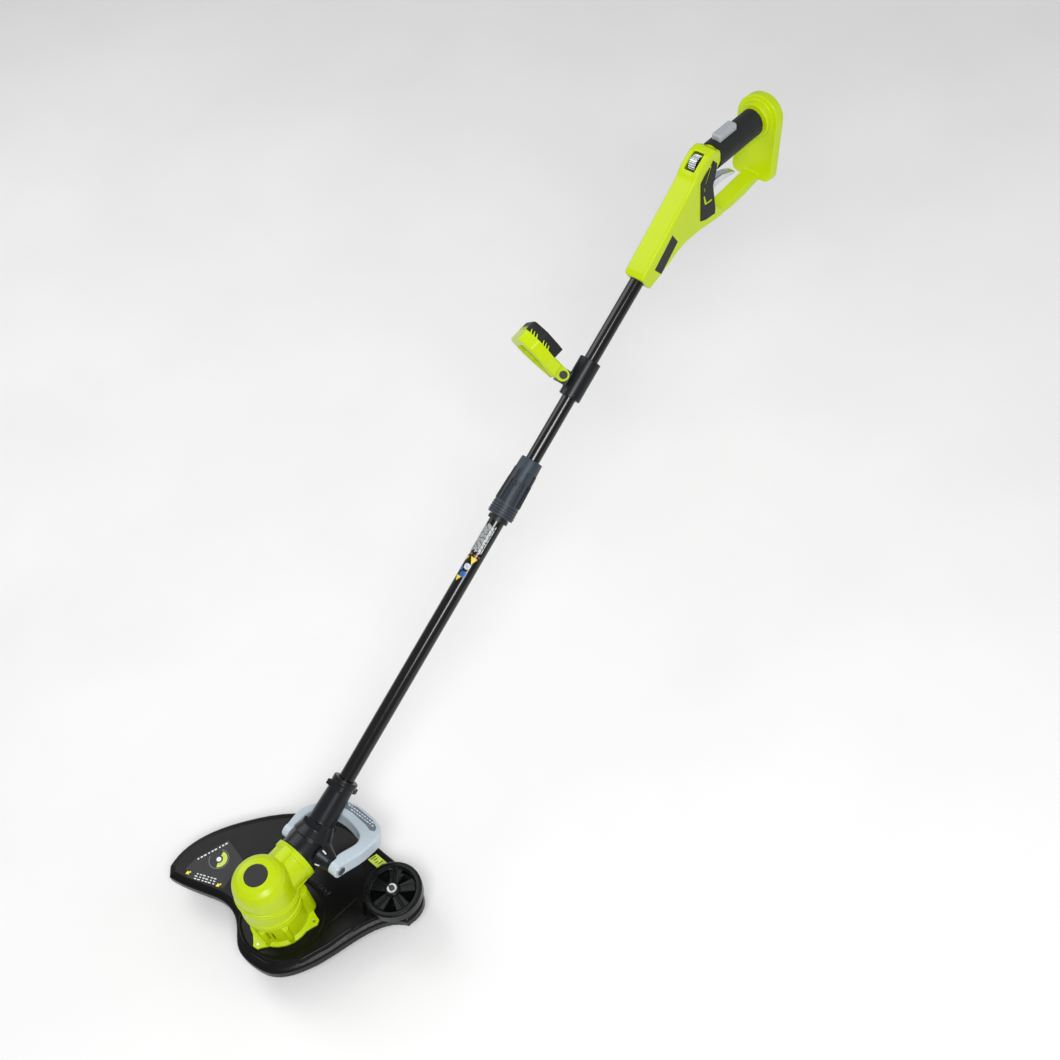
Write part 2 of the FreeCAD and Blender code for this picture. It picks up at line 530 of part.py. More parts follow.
def pedal_slab(shrink, z0, z1):
    """The pedal's plan between two heights, with its walls moved inwards by shrink."""
    points = inset(PEDAL_OUTER + PEDAL_INNER, shrink) if shrink else PEDAL_OUTER + PEDAL_INNER
    outer_points, inner_points = points[:len(PEDAL_OUTER)], points[len(PEDAL_OUTER):]
    outer, inner = Part.BSplineCurve(), Part.BSplineCurve()
    outer.interpolate([V(x, y, z0) for x, y in outer_points])
    inner.interpolate([V(x, y, z0) for x, y in inner_points])
    right = Part.makeLine(V(*outer_points[-1], z0), V(*inner_points[0], z0))
    left = Part.makeLine(V(*inner_points[-1], z0), V(*outer_points[0], z0))
    return Part.Face(Part.Wire([outer.toShape(), right, inner.toShape(), left])).extrude(V(0, 0, z1 - z0))


pedal = soften(pedal_slab(0.0, -PEDAL_R, PEDAL_R), 2.5, at_z((PEDAL_R,)))
behind_ends = box(V(-90, -120, -PEDAL_R - 2), V(60, -13, PEDAL_R - 3.0))
pedal = pedal.cut(pedal_slab(3.0, -PEDAL_R - 1.0, PEDAL_R - 3.0).common(behind_ends))
ends = [cyl(PEDAL_R, x1 - x0, V(x0, 0, 0), V(1, 0, 0)) for x0, x1 in (LEFT_ARM, RIGHT_ARM)]
pedal = fuse([pedal] + ends)
pedal = pedal.cut(cyl(4.0 + RUN, 130, V(-75, 0, 0), V(1, 0, 0)))
hub_room = cyl(PEDAL_R + 1.2, RIGHT_ARM[0] - LEFT_ARM[1], V(LEFT_ARM[1], 0, 0), V(1, 0, 0))
head_room = [cyl(7.2, 10.0, V(x, 0, 0), V(1, 0, 0)) for x in (LEFT_ARM[0] - 10.0, RIGHT_ARM[1])]
pedal = pedal.cut(fuse([hub_room] + head_room))
pedal.Placement = pedal_place
keep("foot_pedal", pedal)
PAD = [(8, -80), (-10, -84), (-42, -82), (-54, -77), (-57, -71), (-50, -68), (-40, -71), (-10, -73), (4, -71)]
pad = soften(plan(PAD, PEDAL_R, PEDAL_R + 0.8), 2.0, lambda e: e.BoundBox.ZLength > 0.7)
pad.Placement = pedal_place
keep("pedal_pad", pad)

# ---- motor housing and neck --------------------------------------------------------------
outer_profile = [(0, DECK_Z), (45.0, DECK_Z), (45.0, DECK_Z + 4), (39.5, DECK_Z + 6), (40.5, SPLIT_Z - 8),
                 (42.5, SPLIT_Z - 5), (42.5, SPLIT_Z + 5), (41.0, SPLIT_Z + 7), (40.0, SPLIT_Z + 34),
                 (38.6, DOME_Z - 22), (36.6, DOME_Z - 13), (32.5, DOME_Z - 6.5), (26.0, DOME_Z - 2.0),
                 (17.4, DOME_Z), (0, DOME_Z)]
inner_profile = [(0, DECK_Z - 1), (36.5, DECK_Z - 1), (37.8, SPLIT_Z - 8), (38.2, SPLIT_Z + 7),
                 (37.2, SPLIT_Z + 34), (36.0, DOME_Z - 24), (33.8, DOME_Z - 15.5), (30.0, DOME_Z - 10),
                 (24.0, DOME_Z - 6), (0, DOME_Z - 6)]
housing = revolve(outer_profile)
REAR_HALF, REAR_END = 32.0, -43.0      # the lower half's squared rear, under the neck


def rear_block(wall, z0, z1):
    """The squared rear of the housing between two heights, inside its walls."""
    block = box(V(-REAR_HALF + wall, REAR_END + wall, z0), V(REAR_HALF - wall, 0, z1))
    return soften(block, 9.0 - wall, lambda e: e.BoundBox.ZLength > 10 and e.BoundBox.YMax < -1)


neck = fuse([cyl(30.0, -NECK_END, V(0, 0, PIVOT_Z), BACK),
             cyl(NECK_R, 9.0, V(0, NECK_END + 9.0, PIVOT_Z), BACK)])
neck_hollow = fuse([cyl(26.0, -NECK_END - 14, V(0, 0, PIVOT_Z), BACK),
                    cyl(13.0, -NECK_END + 2, V(0, 0, PIVOT_Z), BACK)])
tunnel = box(V(-8, NECK_END + 3, PIVOT_Z + 24), V(8, -22, PIVOT_Z + 35))
tunnel = soften(tunnel, 4.0, lambda e: e.BoundBox.YLength > 20 and e.BoundBox.ZMin > PIVOT_Z + 30)
housing = fuse([housing, neck, tunnel, rear_block(0.0, DECK_Z + 3, SPLIT_Z + 5)])
# Two raised lines run round the dome and slope down along the neck's flanks.
LINE_SLOPE, LINE_PROUD = 18.0, 2.0
proud = fuse([cone(40.5 + LINE_PROUD, 38.6 + LINE_PROUD, 70.0, V(0, 0, SPLIT_Z)),
              cyl(30.0 + LINE_PROUD, -NECK_END - 8.0, V(0, 0, PIVOT_Z), BACK)])
for z in (133.0, 139.5):
    band = box(V(-60, -56, -1.1), V(60, 60, 1.1))
    band.Placement = FreeCAD.Placement(V(0, 0, z), FreeCAD.Rotation(V(1, 0, 0), LINE_SLOPE))
    housing = fuse([housing, band.common(proud)])
for angle in (22.0, 112.0, 158.0, 292.0):
    c, s = math.cos(math.radians(angle)), math.sin(math.radians(angle))
    housing = fuse([housing, cyl(4.2, 42.0, V(41.0 * c, 41.0 * s, DECK_Z), V(0, 0, 1))])


def polar(radius, angle):
    return (radius * math.cos(math.radians(angle)), radius * math.sin(math.radians(angle)))


LUGS = (95.0, 207.0, 319.0)  # where the base flange's three screw lugs point
LUG_R = 49.0
for angle in LUGS:
    fin = [polar(43.0, angle - 27), polar(51.0, angle - 8), polar(55.0, angle - 4), polar(55.0, angle + 4),
           polar(51.0, angle + 8), polar(43.0, angle + 27)]
    housing = fuse([housing, plan(fin, DECK_Z, DECK_Z + 4.5)])
badge_seat = cyl(16.5, 5.0, V(0, 0, DOME_Z - 2.4))
vents = []
for angle in range(60, 131, 10):
    slot = box(V(30, -1.2, SPLIT_Z - 40), V(50, 1.2, SPLIT_Z - 16))
    slot.rotate(V(0, 0, 0), V(0, 0, 1), float(angle))
    vents.append(slot)
housing = housing.cut(rear_block(2.6, DECK_Z - 1, SPLIT_Z + 2))
housing = housing.cut(revolve(inner_profile))
housing = housing.cut(fuse([neck_hollow, badge_seat] + vents))
housing = housing.cut(cyl(10.0, 20, V(0, NECK_END + 14, PIVOT_Z), BACK))
lower_space = box(V(-200, -200, 0), V(200, 200, SPLIT_Z - 0.01))
upper_space = box(V(-200, -200, SPLIT_Z + 0.01), V(200, 200, 400))
keep("motor_housing_upper", housing.common(upper_space))
keep("motor_housing_lower", housing.common(lower_space))
keep("dome_badge", cyl(16.2, 2.2, V(0, 0, DOME_Z - 2.4)))

# The turning spigot: flange with a quarter-turn slot for the stop pin, and a hollow stem.
flange_y = NECK_END
spigot = fuse([cyl(24.5, 6.0, V(0, flange_y, PIVOT_Z), BACK), cyl(10.0, 19.0, V(0, flange_y + 4, PIVOT_Z), BACK),
               cyl(12.6, 12.0, V(0, flange_y + 12, PIVOT_Z), BACK)])
slot_cuts = []
for angle in range(-8, 99, 2):
    # The head turns about the neck, so the slot sweeps from below towards the left side.
    c, s = math.cos(math.radians(angle)), math.sin(math.radians(angle))
    slot_cuts.append(cyl(3.5, 4.0, V(-STOP_R * s, flange_y - 2.4, PIVOT_Z - STOP_R * c), BACK))
spigot = spigot.cut(fuse(slot_cuts))
spigot = spigot.cut(cyl(7.0, 40.0, V(0, flange_y + 14, PIVOT_Z), BACK))
keep("turning_spigot", spigot)

# ---- motor ---------------------------------------------------------------------------------
MOTOR_R = 27.0
can = tube(MOTOR_R, MOTOR_R - 1.8, 66.0, V(0, 0, 96.0))
can = fuse([can, cyl(MOTOR_R, 2.0, V(0, 0, 96.0)).cut(cyl(4.0, 6.0, V(0, 0, 94.0))),
            tube(7.0, 4.0, 6.0, V(0, 0, 92.0))])
keep("motor_can", can)
end_cap = fuse([cyl(MOTOR_R, 4.0, V(0, 0, 162.5)), cyl(7.0, 6.0, V(0, 0, 166.5))])
end_cap = end_cap.cut(cyl(4.0, 20.0, V(0, 0, 160.0)))
keep("motor_end_cap", end_cap)
magnets = tube(MOTOR_R - 1.8, MOTOR_R - 6.0, 46.0, V(0, 0, 104.0))
magnets = magnets.cut(box(V(-4, -40, 100), V(4, 40, 160)))
keep("motor_magnets", magnets)
for name, z in (("lower_bushing", 92.0), ("upper_bushing", 165.0)):
    keep(name, tube(4.0, 2.5 + RUN, 6.0, V(0, 0, z)))
shaft = cyl(2.5, 141.0, V(0, 0, 31.0))
core_stack = cyl(20.2, 42.0, V(0, 0, 106.0)).cut(cyl(2.5, 60.0, V(0, 0, 100.0)))
for angle in ring_of(8):
    slot = box(V(9, -1.4, 100), V(22, 1.4, 160))
    slot.rotate(V(0, 0, 0), V(0, 0, 1), angle)
    core_stack = core_stack.cut(slot)
keep("motor_shaft", shaft)
keep("armature", core_stack)
keep("commutator", tube(7.0, 2.5, 9.0, V(0, 0, 150.0)))
fan = fuse([tube(7.0, 2.5, 9.0, V(0, 0, 80.0)), tube(31.0, 6.5, 1.6, V(0, 0, 80.0))])
for angle in ring_of(12):
    vane = box(V(6.5, -0.7, 81.0), V(31.0, 0.7, 88.5))
    vane.rotate(V(0, 0, 0), V(0, 0, 1), angle)
    fan = fuse([fan, vane])
keep("cooling_fan", fan)

# ---- spool -----------------------------------------------------------------------------------
drum = revolve([(2.5, 30.0), (2.5, 48.0), (14.0, 48.0), (16.0, 44.0), (40.0, 41.0), (44.0, 36.0), (44.0, 12.0),
                (42.0, 12.0), (42.0, 35.0), (39.0, 38.5), (9.0, 40.0), (9.0, 30.0)])
c, s = math.cos(math.radians(LINE_ANGLE)), math.sin(math.radians(LINE_ANGLE))
drum = drum.cut(cyl(2.2, 8.0, V(38.0 * c, 38.0 * s, 20.0), V(c, s, 0)))
keep("spool_housing", drum)
reel = revolve([(9.4, 10.0), (36.0, 10.0), (36.0, 12.0), (14.0, 12.0), (14.0, 27.0), (36.0, 27.0), (36.0, 29.0),
                (9.4, 29.0)])
keep("line_reel", reel)
coils = [Part.makeTorus(15.3 + 2.3 * layer, 1.1, V(0, 0, 13.4 + 2.4 * row))
         for layer in range(7) for row in range(6)]
keep("wound_line", Part.makeCompound(coils))
cap = revolve([(0, 0), (24.0, 0), (30.0, 2.0), (34.0, 6.0), (41.6, 8.0), (41.6, 11.5), (40.0, 11.5), (39.0, 9.8),
               (8.8, 9.8), (8.8, 28.0), (0, 28.0)])
for angle in ring_of(8):
    c, s = math.cos(math.radians(angle)), math.sin(math.radians(angle))
    cap = cap.cut(cyl(2.0, 8.0, V(38.0 * c, 38.0 * s, 3.0), V(0, 0, 1)))
keep("bump_cap", cap)
line_way = V(*polar(1.0, LINE_ANGLE), 0)
keep("cutting_line", cyl(1.0, LINE_REACH - 38.0, line_way * 38.0 + V(0, 0, 20.0), line_way))

# ---- guard -------------------------------------------------------------------------------------
FRONT = [(178, 58), (160, 55), (118, 43), (78, 35), (50, 44), (18, 69), (-14, 73), (-46, 65), (-72, 37),
         (-90, -4), (-105, -52), (-124, -86), (-145, -101)]
REAR = [(-147, -112), (-138, -142), (-96, -156), (-45, -157), (8, -159), (62, -146), (112, -115), (150, -74),
        (178, -32), (192, 8), (190, 46)]


def outline(shrink, z):
    """The guard's outline: a wavy front edge and a rounded rear edge, moved inwards by shrink."""
    points = inset(FRONT + REAR, shrink) if shrink else FRONT + REAR
    front_points, rear_points = points[:len(FRONT)], points[len(FRONT):]
    front, rear = Part.BSplineCurve(), Part.BSplineCurve()
    front.interpolate([V(x, y, z) for x, y in front_points])
    rear.interpolate([V(x, y, z) for x, y in rear_points])
    left = Part.makeLine(V(*front_points[-1], z), V(*rear_points[0], z))
    right = Part.makeLine(V(*rear_points[-1], z), V(*front_points[0], z))
    return Part.Wire([front.toShape(), left, rear.toShape(), right])


def guard_slab(shrink, z0, z1):
    return Part.Face(outline(shrink, z0)).extrude(V(0, 0, z1 - z0))


deck_low = DECK_Z - DECK_T
levels = ((0.0, deck_low - 5.0, deck_low - 1.5), (1.6, deck_low - 1.5, deck_low),
          (3.2, deck_low, deck_low + 1.2), (5.6, deck_low + 1.2, deck_low + 2.2), (9.0, deck_low + 2.2, DECK_Z))
guard = fuse([guard_slab(shrink, z0, z1) for shrink, z0, z1 in levels])
guard = fuse([guard, guard_slab(0.0, 40.0, deck_low - 5.0)])
# The skirt hangs lower round the rear, but not at the wheel's corner.
DEEP_EDGE = [(240, 20), (200, 40), (60, -60), (-60, -100), (-112, -128), (-112, -190), (200, -190)]
deep_zone = plan(DEEP_EDGE, 22.0, 41.0)
guard = fuse([guard, guard_slab(0.0, 24.0, 40.0).common(deep_zone)])
guard = guard.cut(guard_slab(3.0, 20.0, deck_low - 4.0))
guard = guard.cut(guard_slab(6.2, deck_low - 5.0, deck_low))
motor_hole = cyl(20.0, 30.0, V(0, 0, deck_low - 10))
guard = guard.cut(motor_hole)
wheel_post = fuse([cyl(12.0, 6.0, V(WHEEL_X, WHEEL_Y, deck_low)), cyl(8.0, 7.4, V(WHEEL_X, WHEEL_Y, DECK_Z))])
rib_lines = []
for k in range(3):
    rib = box(V(-15 - 7 * k, -68, DECK_Z - 0.5), V(-13.6 - 7 * k, -61.5, DECK_Z + 3.0))
    rib.rotate(V(-14 - 7 * k, -65, 0), V(0, 0, 1), -25.0)
    rib_lines.append(rib)
collar_ring = tube(60.5, 58.2, 2.4, V(0, 0, DECK_Z - 0.5))
band_points = [polar(62.0, angle) for angle in range(110, 200, 20)]
band_points += [(-63, -44), (-65, -66), (-67, -82), (-80, -86), (-94, -72), (-94, -46), (-84, -8), (-70, 28),
                (-46, 53)]
swoosh = soften(plan(band_points, DECK_Z - 0.5, DECK_Z + 4.5), 3.5, at_z((DECK_Z + 4.5,)))
guard = fuse([guard, wheel_post, collar_ring, swoosh] + rib_lines)
axle_hole = cyl(4.0, 40.0, V(WHEEL_X, WHEEL_Y, deck_low - 10))
guard = guard.cut(axle_hole)
guard_holes, guard_screws = [], []
for angle in LUGS:
    spot = V(*polar(LUG_R, angle), 0)
    guard_holes.append(cyl(2.0, 30.0, spot + V(0, 0, 40)))
    screw = fuse([cyl(2.0, 7.0, spot + V(0, 0, deck_low)), cyl(3.8, 2.0, spot + V(0, 0, deck_low - 2.0))])
    guard_screws.append(screw)
guard = guard.cut(fuse(guard_holes))
keep("guard", guard)
keep("guard_screws", Part.makeCompound(guard_screws))
NODES["motor_housing_lower"] = NODES["motor_housing_lower"].cut(fuse(guard_holes))

blade = fuse([box(V(166.5, 30, 15.0), V(184.5, 31.4, 37.4)), box(V(166.5, 30, 36.0), V(184.5, 44, 37.4))])
tooth = plan([(166.5, 29), (172, 29), (166.5, 33)], 14.0, 19.0)
keep("line_cutter", blade.cut(tooth))
bracket = box(V(164.0, 31.4, 37.4), V(186.0, 44.0, deck_low))
NODES["guard"] = fuse([NODES["guard"], bracket.common(guard_slab(1.0, 30.0, 60.0))])

# ---- edge wheel ----------------------------------------------------------------------------------
wheel_mid = V(WHEEL_X, WHEEL_Y, 0)
w0, w1 = WHEEL_Z
rim = revolve([(31.5, w0), (WHEEL_R - 2, w0), (WHEEL_R, w0 + 2), (WHEEL_R, w1 - 2), (WHEEL_R - 2, w1), (33.5, w1),
               (32.5, w1 - 3), (31.5, w1 - 3)])
hub_ring = revolve([(4.0 + RUN, w0), (10.0, w0), (10.0, w1 - 1.0), (8.6, w1), (4.0 + RUN, w1)])
web = [rim, hub_ring]
for angle in ring_of(5, 18.0):
    spoke = plan([(9.0, -5.5), (32.5, -10.5), (32.5, 10.5), (9.0, 5.5)], w0 + 3.0, w1 - 4.0)
    spine = box(V(9.0, -1.2, w1 - 4.5), V(32.5, 1.2, w1 - 2.4))
    spoke = fuse([spoke, spine])
    spoke.rotate(V(0, 0, 0), V(0, 0, 1), angle)
    web.append(spoke)
wheel = fuse(web)
wheel.translate(wheel_mid)
keep("edge_wheel", wheel)
axle = fuse([cyl(4.0, w1 + 4.6 - deck_low + 2.0, wheel_mid + V(0, 0, deck_low - 2.0)),
             cyl(7.0, 2.0, wheel_mid + V(0, 0, deck_low - 4.0))])
axle = axle.cut(tube(5.0, 3.0, 1.2, wheel_mid + V(0, 0, w1 + 1.6)))
keep("wheel_axle", axle)
clip = tube(6.6, 3.0, 1.2, wheel_mid + V(0, 0, w1 + 1.6))
clip = clip.cut(box(V(WHEEL_X, WHEEL_Y - 1.5, w1), V(WHEEL_X + 9, WHEEL_Y + 1.5, w1 + 6)))
keep("axle_clip", clip)
washer = tube(8.0, 4.0, 1.0, wheel_mid + V(0, 0, w1 + 0.4))
keep("axle_washer", washer)

for name, shape in NODES.items():
    print(name, shape.isValid(), len(shape.Solids), round(shape.Volume))
    shape.exportStep("parts/" + name + ".step")
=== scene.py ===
import json
import math

import bmesh
import bpy
from mathutils import Euler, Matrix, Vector


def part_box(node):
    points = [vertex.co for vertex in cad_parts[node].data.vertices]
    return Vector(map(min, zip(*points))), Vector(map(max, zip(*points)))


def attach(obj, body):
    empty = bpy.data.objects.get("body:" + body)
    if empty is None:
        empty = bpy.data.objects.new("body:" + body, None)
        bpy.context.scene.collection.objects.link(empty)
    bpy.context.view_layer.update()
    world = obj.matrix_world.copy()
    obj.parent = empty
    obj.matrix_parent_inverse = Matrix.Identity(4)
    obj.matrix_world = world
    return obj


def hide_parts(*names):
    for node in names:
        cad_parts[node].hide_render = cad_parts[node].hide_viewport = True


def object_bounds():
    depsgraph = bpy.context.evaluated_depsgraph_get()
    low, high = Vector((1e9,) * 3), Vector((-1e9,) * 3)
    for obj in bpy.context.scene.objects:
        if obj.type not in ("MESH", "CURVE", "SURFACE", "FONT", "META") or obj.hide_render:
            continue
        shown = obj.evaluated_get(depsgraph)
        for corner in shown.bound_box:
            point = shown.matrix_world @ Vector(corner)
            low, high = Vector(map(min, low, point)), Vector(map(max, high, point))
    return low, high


# Looks of the line trimmer: moulded parts get soft edges, and every surface a procedural
# material. The frame is the CAD's. Blender works in metres; the sizes of shapes below are in
# millimetres and go through MM.

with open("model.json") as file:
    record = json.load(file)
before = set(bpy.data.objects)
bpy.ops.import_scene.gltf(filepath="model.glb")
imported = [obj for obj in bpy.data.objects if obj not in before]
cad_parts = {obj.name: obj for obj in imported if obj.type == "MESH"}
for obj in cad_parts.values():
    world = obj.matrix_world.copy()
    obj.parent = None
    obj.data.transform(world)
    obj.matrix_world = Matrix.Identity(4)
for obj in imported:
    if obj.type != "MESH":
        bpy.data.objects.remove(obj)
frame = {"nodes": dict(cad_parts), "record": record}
cad_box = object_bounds()

MM = 0.001
# The tube starts at the pivot of the head and rises towards the user.
SHAFT_RISE = math.radians(28.0)
PIVOT = Vector((0.0, -82.0, 144.0)) * MM


# ---- materials -----------------------------------------------------------------------------
class Shader:
    """Short calls for building one node material."""

    def __init__(self, name):
        self.material = bpy.data.materials.new(name)
        self.material.use_nodes = True
        self.tree = self.material.node_tree
        self.main = self.tree.nodes["Principled BSDF"]
        self.place = self.tree.nodes.new("ShaderNodeTexCoord").outputs["Object"]

    def node(self, kind, **values):
        made = self.tree.nodes.new(kind)
        for key, value in values.items():
            setattr(made, key, value)
        return made

    def link(self, out, into):
        self.tree.links.new(out, into)

    def set(self, **values):
        """Set inputs of the surface; an underscore stands for the space in an input's name."""
        for key, value in values.items():
            self.main.inputs[key.replace("_", " ")].default_value = value

    def noise(self, scale, detail=3.0, rough=0.5, stretch=None):
        tex = self.node("ShaderNodeTexNoise")
        tex.inputs["Scale"].default_value = scale
        tex.inputs["Detail"].default_value = detail
        tex.inputs["Roughness"].default_value = rough
        if stretch:
            mapping = self.node("ShaderNodeMapping")
            mapping.inputs["Scale"].default_value = stretch
            self.link(self.place, mapping.inputs["Vector"])
            self.link(mapping.outputs["Vector"], tex.inputs["Vector"])
        else:
            self.link(self.place, tex.inputs["Vector"])
        return tex.outputs["Fac"]

    def voronoi(self, scale):
        tex = self.node("ShaderNodeTexVoronoi")
        tex.inputs["Scale"].default_value = scale
        self.link(self.place, tex.inputs["Vector"])
        return tex.outputs["Distance"]

    def ramp(self, fac, low, high, start=0.0, end=1.0):
        """Turn the values from start to end into low to high."""
        made = self.node("ShaderNodeMapRange")
        made.inputs["From Min"].default_value = start
        made.inputs["From Max"].default_value = end
        made.inputs["To Min"].default_value = low
        made.inputs["To Max"].default_value = high
        self.link(fac, made.inputs["Value"])
        return made.outputs["Result"]

    def colours(self, fac, stops):
        """Turn a value into a colour between two (position, colour) stops."""
        made = self.node("ShaderNodeValToRGB")
        for element, (position, colour) in zip(made.color_ramp.elements, stops):
            element.position = position
            element.color = (*colour, 1.0)
        self.link(fac, made.inputs["Fac"])
        return made.outputs["Color"]

    def mix(self, fac, base, colour):
        """Lay a plain colour over the base by a value from 0 to 1."""
        made = self.node("ShaderNodeMix", data_type="RGBA")
        self.link(fac, made.inputs["Factor"])
        self.link(base, made.inputs["A"])
        made.inputs["B"].default_value = (*colour, 1.0)
        return made.outputs["Result"]

    def edges(self, low=0.52, high=0.6):
        """A value that is high on sharp outer edges, where the painted edge highlight goes."""
        geometry = self.node("ShaderNodeNewGeometry")
        return self.ramp(geometry.outputs["Pointiness"], 0.0, 1.0, low, high)

    def bump(self, heights):
        """Stack bumps, each given as a height, a strength and a distance in metres."""
        normal = None
        for height, strength, distance in heights:
            made = self.node("ShaderNodeBump")
            made.inputs["Strength"].default_value = strength
            made.inputs["Distance"].default_value = distance
            self.link(height, made.inputs["Height"])
            if normal is not None:
                self.link(normal, made.inputs["Normal"])
            normal = made.outputs["Normal"]
        self.link(normal, self.main.inputs["Normal"])
        return self


def shade(colour, factor):
    return tuple(min(1.0, c * factor) for c in colour)


# The factor after coat sets how much lighter the painted edge highlight makes sharp edges.
def moulded(name, colour, rough, grain=0.25, spread=0.06, coat=0.0, edge_highlight=1.25, shine=0.5):
    """Moulded plastic: fine grain, slow colour drift, and a painted highlight that makes the edges
    a touch lighter.
    """
    s = Shader(name)
    drift = s.noise(9.0, 2.0)
    fine = s.noise(160.0, 4.0, 0.6)
    base = s.colours(drift, ((0.3, shade(colour, 1 - spread)), (0.7, shade(colour, 1 + spread))))
    base = s.mix(s.ramp(fine, 0.0, 0.10), base, shade(colour, 0.8))
    # Painted highlight: sharp edges get a lighter colour, as if they caught the light.
    base = s.mix(s.edges(), base, shade(colour, edge_highlight))
    s.link(base, s.main.inputs["Base Color"])
    patches = s.noise(45.0, 5.0, 0.65)
    s.link(s.ramp(patches, rough * 0.8, rough * 1.25), s.main.inputs["Roughness"])
    s.set(Coat_Weight=coat, Coat_Roughness=0.12, IOR=1.5, Specular_IOR_Level=shine)
    grains, waves = s.voronoi(1400.0), s.noise(28.0, 2.0)
    return s.bump(((grains, grain, 0.00012), (waves, 0.10, 0.0006))).material


def rubber(name, colour, rough=0.62):
    """Soft rubber: matt, with a fine grain and a painted highlight on the edges."""
    s = Shader(name)
    drift = s.noise(14.0, 3.0)
    base = s.colours(drift, ((0.3, shade(colour, 0.88)), (0.7, shade(colour, 1.12))))
    # Painted highlight: sharp edges are made half again lighter, as if they caught the light.
    base = s.mix(s.edges(0.51, 0.58), base, shade(colour, 1.5))
    s.link(base, s.main.inputs["Base Color"])
    patches = s.noise(70.0, 5.0, 0.7)
    s.link(s.ramp(patches, rough * 0.85, min(1.0, rough * 1.2)), s.main.inputs["Roughness"])
    s.set(Sheen_Weight=0.04, Sheen_Roughness=0.5, IOR=1.48, Specular_IOR_Level=0.3)
    grains, specks = s.voronoi(1900.0), s.noise(900.0, 2.0)
    return s.bump(((grains, 0.35, 0.00015), (specks, 0.2, 0.0001))).material


def metal(name, colour, rough, brushed=(1.0, 1.0, 40.0), metallic=1.0):
    """Metal with fine streaks; brushed says how quickly they change along x, y and z."""
    s = Shader(name)
    streaks = s.noise(60.0, 6.0, 0.6, stretch=brushed)
    base = s.colours(streaks, ((0.25, shade(colour, 0.82)), (0.75, shade(colour, 1.08))))
    s.link(base, s.main.inputs["Base Color"])
    s.link(s.ramp(streaks, rough * 0.7, rough * 1.4), s.main.inputs["Roughness"])
    s.set(Metallic=metallic)
    specks = s.noise(300.0, 3.0)
    return s.bump(((streaks, 0.12, 0.00008), (specks, 0.08, 0.00008))).material


def lacquer(name, colour, rough=0.16):
    """Gloss powder coat with a faint orange peel and fine scuffs."""
    s = Shader(name)
    scuffs = s.noise(220.0, 6.0, 0.7, stretch=(1.0, 0.25, 1.0))
    drift = s.noise(12.0, 3.0)
    base = s.colours(drift, ((0.3, shade(colour, 0.8)), (0.7, shade(colour, 1.25))))
    s.link(base, s.main.inputs["Base Color"])
    s.link(s.ramp(scuffs, rough * 0.9, rough * 1.3, 0.35, 0.75), s.main.inputs["Roughness"])
    s.set(Coat_Weight=0.15, Coat_Roughness=0.08, IOR=1.5, Specular_IOR_Level=0.35)
    peel, waves = s.noise(420.0, 2.0), s.noise(60.0, 2.0)
    return s.bump(((peel, 0.02, 0.00002), (waves, 0.02, 0.00006))).material


# Each row: finish, maker, colour, and the maker's other values.
RECIPES = [
    ("lime_plastic", moulded, (0.49, 0.64, 0.0),
     dict(rough=0.30, grain=0.10, spread=0.035, coat=0.04, edge_highlight=1.10, shine=0.28)),
    ("soft_grip", rubber, (0.010, 0.012, 0.012), {}),
    ("badge_black", moulded, (0.006, 0.006, 0.007), dict(rough=0.20, grain=0.06, shine=0.2)),
    ("black_plastic", moulded, (0.009, 0.009, 0.010), dict(rough=0.38, shine=0.3)),
    ("hub_black", moulded, (0.007, 0.009, 0.011), dict(rough=0.30, grain=0.16, shine=0.25)),
    ("guard_black", moulded, (0.004, 0.004, 0.004), dict(rough=0.30, grain=0.14, shine=0.16)),
    ("wheel_black", moulded, (0.004, 0.005, 0.005), dict(rough=0.26, grain=0.12, shine=0.2)),
    ("collar_rubber", rubber, (0.030, 0.042, 0.056), dict(rough=0.42)),
    ("black_tube", lacquer, (0.003, 0.003, 0.0035), {}),
    ("light_grey_plastic", moulded, (0.36, 0.38, 0.42), dict(rough=0.26, grain=0.08, coat=0.3)),
    ("pedal_grey", moulded, (0.50, 0.58, 0.64),
     dict(rough=0.30, grain=0.08, spread=0.03, coat=0.15, edge_highlight=1.1)),
    ("pad_grey", rubber, (0.10, 0.12, 0.15), dict(rough=0.55)),
    ("silver_plastic", metal, (0.70, 0.74, 0.78), dict(rough=0.20, brushed=(1.0, 1.0, 1.0))),
    ("zinc_steel", metal, (0.55, 0.56, 0.58), dict(rough=0.30)),
    ("black_steel", lacquer, (0.014, 0.014, 0.015), dict(rough=0.3)),
    ("cutter_steel", metal, (0.60, 0.60, 0.62), dict(rough=0.26, brushed=(30.0, 1.0, 1.0))),
    ("brass", metal, (0.72, 0.52, 0.22), dict(rough=0.28)),
    ("copper", metal, (0.72, 0.36, 0.20), dict(rough=0.30)),
    ("nylon_white", moulded, (0.62, 0.61, 0.56), dict(rough=0.42, grain=0.1)),
    ("line_nylon", moulded, (0.75, 0.16, 0.02), dict(rough=0.25, grain=0.1, coat=0.3)),
    ("magnet", metal, (0.10, 0.10, 0.11), dict(rough=0.5, metallic=0.6)),
    ("armature_steel", metal, (0.34, 0.32, 0.30), dict(rough=0.4)),
    ("circuit_board", moulded, (0.01, 0.14, 0.05), dict(rough=0.35)),
    ("print_white", moulded, (0.62, 0.66, 0.68), dict(rough=0.42, grain=0.05, spread=0.03)),
    ("print_grey", moulded, (0.16, 0.17, 0.18), dict(rough=0.40, grain=0.05)),
    ("print_panel", moulded, (0.013, 0.013, 0.014), dict(rough=0.30, grain=0.05, shine=0.25)),
    ("print_yellow", moulded, (0.78, 0.62, 0.02), dict(rough=0.40, grain=0.05)),
    ("print_lime", moulded, (0.45, 0.58, 0.06), dict(rough=0.40, grain=0.05)),
    ("print_orange", moulded, (0.75, 0.20, 0.04), dict(rough=0.40, grain=0.05)),
    ("print_blue", moulded, (0.02, 0.12, 0.42), dict(rough=0.40, grain=0.05)),
]
FINISH = {name: make(name, colour, **values) for name, make, colour, values in RECIPES}

